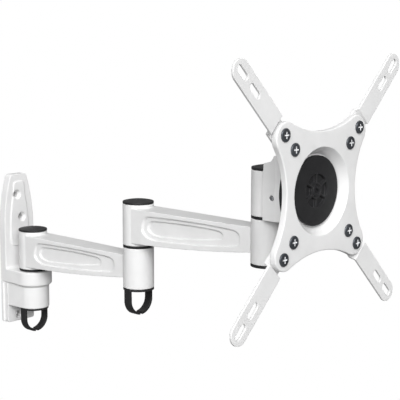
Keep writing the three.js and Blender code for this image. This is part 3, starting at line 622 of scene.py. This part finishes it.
def knuckle_shape():
    foot = low("head_knuckle")
    y, z = TILT.y - PIVOT_Y["head"], TILT.z - foot
    lug = moved(moved(rod(LUG_RADIUS, -LUG_HALF_WIDTH, LUG_HALF_WIDTH), turn=ACROSS), y=y, z=z)
    neck = block((-LUG_HALF_WIDTH, LUG_HALF_WIDTH), (y, NECK_ROOT), (z - LUG_RADIUS, z + LUG_RADIUS))
    bore = moved(moved(rod(LUG_BORE, -PAST_CHEEK, PAST_CHEEK, HOLE_SIDES), turn=ACROSS), y=y, z=z)
    return cast(cut(join(boss(0), lug, neck), *bush_bore(0), bore), voxel=0.45, rounds=2, keep=0.3)


piece(knuckle_shape(), "head_knuckle_casting", "swivel_head", "white_paint", "head_knuckle",
      at=(0, PIVOT_Y["head"], low("head_knuckle")))


def bracket_shape():
    plate = {"y": PLATE.y - TILT.y, "z": PLATE.z - TILT.z}
    front, back = plate["y"] + WEB_FRONT, plate["y"] + WEB_BACK
    side = path((back - 1, CHEEK_FOOT), (9.8, CHEEK_FOOT), ((11.6, 4), (9.1, 29.0)), (3.6, 30.2),
                ((0.2, 30.9), (-1.8, CHEEK_CROWN)), (back - 1, CHEEK_CROWN))
    parts = []
    for s in (-1, 1):
        plan = [(CHEEK_INNER, CHEEK_REAR), (CHEEK_OUTER, CHEEK_REAR), (CHEEK_OUTER, -3.5), (NECK_OUTER, -8),
                (NECK_OUTER, back - 1), (NECK_INNER, back - 1), (NECK_INNER, -9.5), (CHEEK_INNER, -7)]
        cheek = pushed([(s * x, y) for x, y in plan], "z", CHEEK_FOOT - 1, CHEEK_CROWN + 1)
        parts.append(meet(cheek, pushed(side, "x", -20, 20)))
    parts.append(block((-NECK_OUTER, NECK_OUTER), (front, back), (CHEEK_FOOT, CHEEK_CROWN)))
    for size in (FLANGE, HUB):
        parts.append(moved(moved(rod(*size, BOSS_SIDES), turn=TO_SCREEN), **plate))
    bores = [moved(moved(rod(CENTRE_BORE, -40, 0, HOLE_SIDES), turn=TO_SCREEN), **plate),
             moved(rod(CROSS_BORE, -PAST_CHEEK, PAST_CHEEK, HOLE_SIDES), turn=ACROSS)]
    return cast(cut(join(*parts), *bores), voxel=0.42, rounds=2, keep=0.3)


piece(bracket_shape(), "tilt_bracket_casting", "tilting_bracket", "white_paint", "tilt_bracket", at=(0, TILT.y, TILT.z))

tilt_bolt = cut(rod(TILT_BOLT_RADIUS, -CHEEK_OUTER, CHEEK_OUTER + TILT_BOLT_END, BOLT_SIDES, soft=0.3),
                hexagon(SOCKET_RADIUS, -CHEEK_OUTER - 1, SOCKET_DEPTH - CHEEK_OUTER))
piece(crisp(tilt_bolt), "tilt_cross_bolt", "tilting_bracket", "steel", "tilt_bolt", at=(0, TILT.y, TILT.z), turn=ACROSS)
tilt_nut = cut(hexagon(TILT_NUT_RADIUS, CHEEK_OUTER + TILT_NUT_FOOT, CHEEK_OUTER + TILT_NUT_TOP, chamfer=0.6),
               rod(TILT_NUT_BORE, CHEEK_OUTER, CHEEK_OUTER + 5, HOLE_SIDES))
piece(crisp(tilt_nut), "tilt_hex_nut", "tilting_bracket", "steel", "tilt_nut", at=(0, TILT.y, TILT.z), turn=ACROSS)

# ---- screen plate, drawn with x right, y up and z towards the screen ---------------------------------
PLATE_THICKNESS = 5.5
LOBE, LOBE_RADIUS = 47.2, 13.2
SIDE_WAIST, END_WAIST = 46.5, 50.0
DISH_MOUTH, DISH_FLOOR, DISH_SKIN = 37.0, 9.7, 2.8
DISH_FLOOR_RADIUS, DISH_BACK_RADIUS, DISH_ROOT_RADIUS, DISH_BORE = 30.8, 34, 40.4, 12.3
HOLE_RADIUS, HOLE_SQUARES = 2.9, {"inner": 75, "outer": 100}
PLATE_EDGE, DISH_EDGE, DISH_OVERLAP = 0.9, 0.8, 0.5


def plate_outline():
    """Four round lobes joined by hollow sides that touch them smoothly."""
    points = []
    for quarter in range(4):
        waists = (SIDE_WAIST, END_WAIST) if quarter % 2 == 0 else (END_WAIST, SIDE_WAIST)
        radii = [((w - LOBE) ** 2 + LOBE ** 2 - LOBE_RADIUS ** 2) / (2 * (LOBE_RADIUS - (w - LOBE))) for w in waists]
        halves = [math.degrees(math.asin(LOBE / (r + LOBE_RADIUS))) for r in radii]
        hollow = arc(waists[0] + radii[0], 0, radii[0], 180 + halves[0], 180 - halves[0], 32)
        lobe = arc(LOBE, LOBE, LOBE_RADIUS, -halves[0], 90 + halves[1], 32)
        turn = Matrix.Rotation(math.radians(90 * quarter), 2)
        points += [tuple(turn @ Vector(p)) for p in hollow + lobe]
    return points


def square_points(side):
    return [(x * side / 2, y * side / 2) for x, y in ((1, 1), (-1, 1), (-1, -1), (1, -1))]


def screen_shape():
    face = pushed(plate_outline(), "z", -PLATE_THICKNESS, 0, (PLATE_EDGE, PLATE_EDGE))
    back = -DISH_FLOOR - DISH_SKIN
    root = DISH_OVERLAP - PLATE_THICKNESS
    dish = turned([(0, back), (DISH_BACK_RADIUS, back), (DISH_ROOT_RADIUS, root), (0, root)], DISC_SIDES, DISH_EDGE)
    hollow = turned([(0, -DISH_FLOOR), (DISH_FLOOR_RADIUS, -DISH_FLOOR), (DISH_MOUTH, 0), (DISH_MOUTH, 1), (0, 1)],
                    DISC_SIDES)
    holes = [moved(rod(HOLE_RADIUS, -8, 1, HOLE_SIDES), x=x, y=y)
             for side in HOLE_SQUARES.values() for x, y in square_points(side)]
    body = cut(join(face, dish), hollow, rod(DISH_BORE, back - 1, 0, BOSS_SIDES), *holes)
    return cast(body, voxel=0.4, rounds=1, keep=0.2)


def on_plate(obj, name, body, material_slot, *nodes, **more):
    return piece(moved(obj, turn=TO_SCREEN), name, body, material_slot, *nodes, at=(0, PLATE.y, PLATE.z), **more)


on_plate(screen_shape(), "screen_plate_casting", "screen_frame", "white_paint", "screen_plate")


DISC_RADIUS, DISC_BACK, DISC_FRONT, DISC_EDGE = 29.5, -9.4, -5.8, 0.7
SINK_RADIUS, SINK_DEPTH = 5.3, 2.6
POCKETS, POCKET_DEPTH = 6, 2.5
POCKET_RIM, POCKET_HUB = (14.3, 26.8), (6.9, 23.6)  # radius, and half the angle in degrees


def disc_shape():
    disc = rod(DISC_RADIUS, DISC_BACK, DISC_FRONT, DISC_SIDES, DISC_EDGE)
    tools = [rod(SINK_RADIUS, DISC_FRONT - SINK_DEPTH, DISC_FRONT + 1, BOLT_SIDES),
             rod(CENTRE_BORE, DISC_BACK - 1, DISC_FRONT, HOLE_SIDES)]
    (rim, rim_half), (hub, hub_half) = POCKET_RIM, POCKET_HUB
    for i in range(POCKETS):
        middle = 360 / POCKETS * i
        outline = arc(0, 0, rim, middle - rim_half, middle + rim_half, 12)
        outline += arc(0, 0, hub, middle + hub_half, middle - hub_half, 8)
        tools.append(pushed(outline, "z", DISC_FRONT - POCKET_DEPTH, DISC_FRONT + 1))
    return cast(cut(disc, *tools), voxel=0.4, rounds=2, keep=0.35)


on_plate(disc_shape(), "clamp_disc_moulding", "tilting_bracket", "black_plastic", "clamp_disc")

# radius, back and front; the rings have an inner and an outer radius
BOLT_HEAD, BOLT_SHANK, BOLT_SOCKET = (4.95, -8.1, -5.8), (4, -29.5, -7.5), (2.6, -7.4, 0)
BOLT_NUT, NUT_BORE, WASHER = (7.35, -28.4, -23.1), (4.4, -30, -20), (4.4, 8.5, -22.8, -21.3)
# the slip washer behind the plate is real, but its outer radius of 39.2 is widened so that its black rim shows beside
# the plate's edge as a painted shadow of the gap behind the plate
WASHER_SHADOW_RING = (12.3, 39.2, -14.3, -12.8)

bolt_head = rod(*BOLT_HEAD, soft=0.5)
bolt = cut(join(rod(*BOLT_SHANK, BOLT_SIDES, soft=0.4), bolt_head), hexagon(*BOLT_SOCKET))
bolt.data.materials.clear()
bolt.data.materials.append(BLACK_OXIDE)
on_plate(crisp(bolt), "plate_centre_bolt", "tilting_bracket", "dark_steel", "plate_swivel_bolt", extra=(BLACK_OXIDE,))
nut = cut(hexagon(*BOLT_NUT, chamfer=0.9), rod(*NUT_BORE, BOLT_SIDES))
on_plate(crisp(nut), "plate_centre_nut", "tilting_bracket", "steel", "plate_swivel_nut")
# the widened black rim of this washer is a painted shadow
washer_shadow_ring = ring(*WASHER_SHADOW_RING, DISC_SIDES, soft=0.3)
on_plate(washer_shadow_ring, "plate_washer_shadow_ring", "tilting_bracket", "black_plastic", "plate_slip_washer")
washer = ring(*WASHER, SMALL_SIDES, soft=0.25)
on_plate(washer, "plate_centre_washer", "tilting_bracket", "steel", "plate_swivel_washer")

# ---- extension arms and screws ------------------------------------------------------------------------
CORNERS = ("upper_right", "upper_left", "lower_left", "lower_right")
BLADE = 2.3
BLADE_FRONT, TAB_FRONT = -1.3, -PLATE_THICKNESS - 0.3
BLADE_ROOT, BEND, BEND_LAG, JOG, TIP, PAST_TIP, BLADE_HALF = 46.5, 80.6, 1.4, 2.2, 143.5, 154, 9.5
SLOT_MIDDLES, SLOT_HALF, SLOT_RADIUS = (121, 141.4), 4.5, 3


def blade_shape():
    front = [(BLADE_FRONT, PAST_TIP), (BLADE_FRONT, BEND + JOG), (TAB_FRONT, BEND), (TAB_FRONT, BLADE_ROOT)]
    back = [(TAB_FRONT - BLADE, BLADE_ROOT), (TAB_FRONT - BLADE, BEND + BEND_LAG),
            (BLADE_FRONT - BLADE, BEND + BEND_LAG + JOG), (BLADE_FRONT - BLADE, PAST_TIP)]
    plan = [(BLADE_ROOT, -BLADE_HALF)] + arc(TIP, 0, BLADE_HALF, -90, 90, 32) + [(BLADE_ROOT, BLADE_HALF)]
    tools = [moved(rod(HOLE_RADIUS, -10, 0, HOLE_SIDES), x=side / math.sqrt(2)) for side in HOLE_SQUARES.values()]
    for middle in SLOT_MIDDLES:
        near = arc(middle - SLOT_HALF, 0, SLOT_RADIUS, 90, 270, 16)
        far = arc(middle + SLOT_HALF, 0, SLOT_RADIUS, -90, 90, 16)
        tools.append(pushed(near + far, "z", -10, 2))
    blade = meet(pushed(back + front, "y", -BLADE_HALF, BLADE_HALF), pushed(plan, "z", -20, 2))
    return cast(cut(blade, *tools), voxel=0.36, rounds=1, keep=0.25)


HEAD_RADIUS, HEAD_HEIGHT, HEAD_RIM, HEAD_SEAT = 5.55, 1.4, 0.6, 0.3
SHANK_RADIUS, SHANK_TIP, SHANK_END, SHANK_TAPER = 2.4, 2.1, -9, -8.6
CROSS_REACH, CROSS_HALF, CROSS_DEPTH = 2.8, 0.6, 1.0


def screw_shape():
    """A pan head screw, face up, whose cross recess is painted near white as a painted highlight."""
    seat, top = HEAD_SEAT, HEAD_SEAT + HEAD_HEIGHT
    profile = path((0, SHANK_END), (SHANK_TIP, SHANK_END), (SHANK_RADIUS, SHANK_TAPER), (SHANK_RADIUS, seat),
                   (HEAD_RADIUS, seat), (HEAD_RADIUS, seat + HEAD_RIM),
                   ((HEAD_RADIUS - 0.1, top - 0.15), (HEAD_RADIUS - 1.6, top - 0.05)), (0, top), steps=8)
    floor = top - CROSS_DEPTH
    arms = []
    for along in (0, 1):
        outline = [(-CROSS_REACH, -CROSS_HALF), (CROSS_REACH, -CROSS_HALF), (CROSS_REACH, CROSS_HALF),
                   (-CROSS_REACH, CROSS_HALF)]
        outline = [(b, a) for a, b in outline] if along else outline
        arms.append(pushed(outline, "z", floor, top + 1))
    screw = cut(turned(profile, SMALL_SIDES), *arms)
    screw.data.materials.clear()
    screw.data.materials.append(DARK_STEEL)
    screw.data.materials.append(RECESS_HIGHLIGHT_PAINT)
    # the faces inside the cross recess take the near-white paint, a painted highlight
    for polygon in screw.data.polygons:
        x, y, z = polygon.center
        within = min(abs(x), abs(y)) < CROSS_HALF + 0.01 and max(abs(x), abs(y)) < CROSS_REACH + 0.05
        polygon.material_index = int(within and floor - 0.1 < z < top - 0.12)
    return crisp(screw)


blade, screw = blade_shape(), screw_shape()
for i, corner in enumerate(CORNERS):
    copy = moved(copied(blade, corner), turn=(45 + 90 * i, "Z"))
    node = f"extension_arm_{corner}"
    on_plate(copy, f"{node}_blade", "screen_frame", "white_paint", node)
    for row, side in HOLE_SQUARES.items():
        x, y = square_points(side)[i]
        copy = moved(copied(screw, corner), x=x, y=y)
        node = f"screw_{corner}_{row}"
        on_plate(copy, f"{node}_pan_head", "screen_frame", "dark_steel", node, extra=(RECESS_HIGHLIGHT_PAINT,))
bpy.data.objects.remove(blade)
bpy.data.objects.remove(screw)

# ---- CAD pieces that stay -----------------------------------------------------------------------------
node_slots = {part["node"]: part["material_slot"] for part in frame["record"]["subparts"]}
for name, obj in frame["nodes"].items():
    obj.data.materials.clear()
    obj.data.materials.append(SLOTS[node_slots[name]])

# ---- floor and light ----------------------------------------------------------------------------------
FLOOR_DROP, FLOOR_SIZE = -0.32, 30.0
SKY_STRENGTH, SKY_HORIZON, SKY_FROM, SKY_TO = 0.50, 0.36, 0.08, 0.75
MIDDLE = (0, -0.25, 0.05)
LIGHT_SIZE = 3.2
LIGHTS = {"left": ((-3.89, -2.33, 2.4), 178), "right": ((-2.08, -4.14, 2.4), 174)}  # places and watts


def white_to_camera(tree, output, shader_type, plain):
    """Shows plain white where the camera looks straight at a stage surface, and lets it light as it is."""
    nodes, links = tree.nodes, tree.links
    seen, mix, white = (nodes.new(f"ShaderNode{kind}") for kind in ("LightPath", "MixShader", shader_type))
    links.new(seen.outputs["Is Camera Ray"], mix.inputs["Fac"])
    links.new(plain.outputs[0], mix.inputs[1])
    links.new(white.outputs[0], mix.inputs[2])
    white.inputs["Color"].default_value = (1, 1, 1, 1)
    white.inputs["Strength"].default_value = 1.0
    links.new(mix.outputs[0], nodes[output].inputs["Surface"])


def add_floor():
    bm = bmesh.new()
    bmesh.ops.create_grid(bm, x_segments=8, y_segments=8, size=FLOOR_SIZE)
    bmesh.ops.translate(bm, verts=bm.verts, vec=(0, 0, FLOOR_DROP))
    floor = as_object(bm, "floor")
    white_to_camera(FLOOR.node_tree, "Material Output", "Emission", FLOOR.node_tree.nodes["Principled BSDF"])
    floor.data.materials.append(FLOOR)


def add_light(name, place, watts):
    data = bpy.data.lights.new(name, "AREA")
    data.shape, data.size, data.energy = "DISK", LIGHT_SIZE, watts
    light = bpy.data.objects.new(name, data)
    light.location = place
    light.rotation_euler = (Vector(MIDDLE) - Vector(place)).to_track_quat("-Z", "Y").to_euler()
    bpy.context.scene.collection.objects.link(light)


def add_world():
    """A sky that is dim at the horizon and brightest overhead."""
    world = bpy.data.worlds.new("studio")
    bpy.context.scene.world = world
    world.use_nodes = True
    nodes, links = world.node_tree.nodes, world.node_tree.links
    coordinates = nodes.new("ShaderNodeTexCoord")
    split = nodes.new("ShaderNodeSeparateXYZ")
    ramp = nodes.new("ShaderNodeValToRGB")
    low_stop, high_stop = ramp.color_ramp.elements
    low_stop.position, high_stop.position = SKY_FROM, SKY_TO
    low_stop.color, high_stop.color = (SKY_HORIZON, SKY_HORIZON, SKY_HORIZON, 1), (1, 1, 1, 1)
    links.new(coordinates.outputs["Generated"], split.inputs["Vector"])
    links.new(split.outputs["Z"], ramp.inputs["Fac"])
    sky = nodes["Background"]
    links.new(ramp.outputs["Color"], sky.inputs["Color"])
    sky.inputs["Strength"].default_value = SKY_STRENGTH
    white_to_camera(world.node_tree, "World Output", "Background", sky)


add_floor()
add_world()
for name, (place, watts) in LIGHTS.items():
    add_light(name, place, watts)
bpy.context.scene.view_settings.view_transform = "Standard"
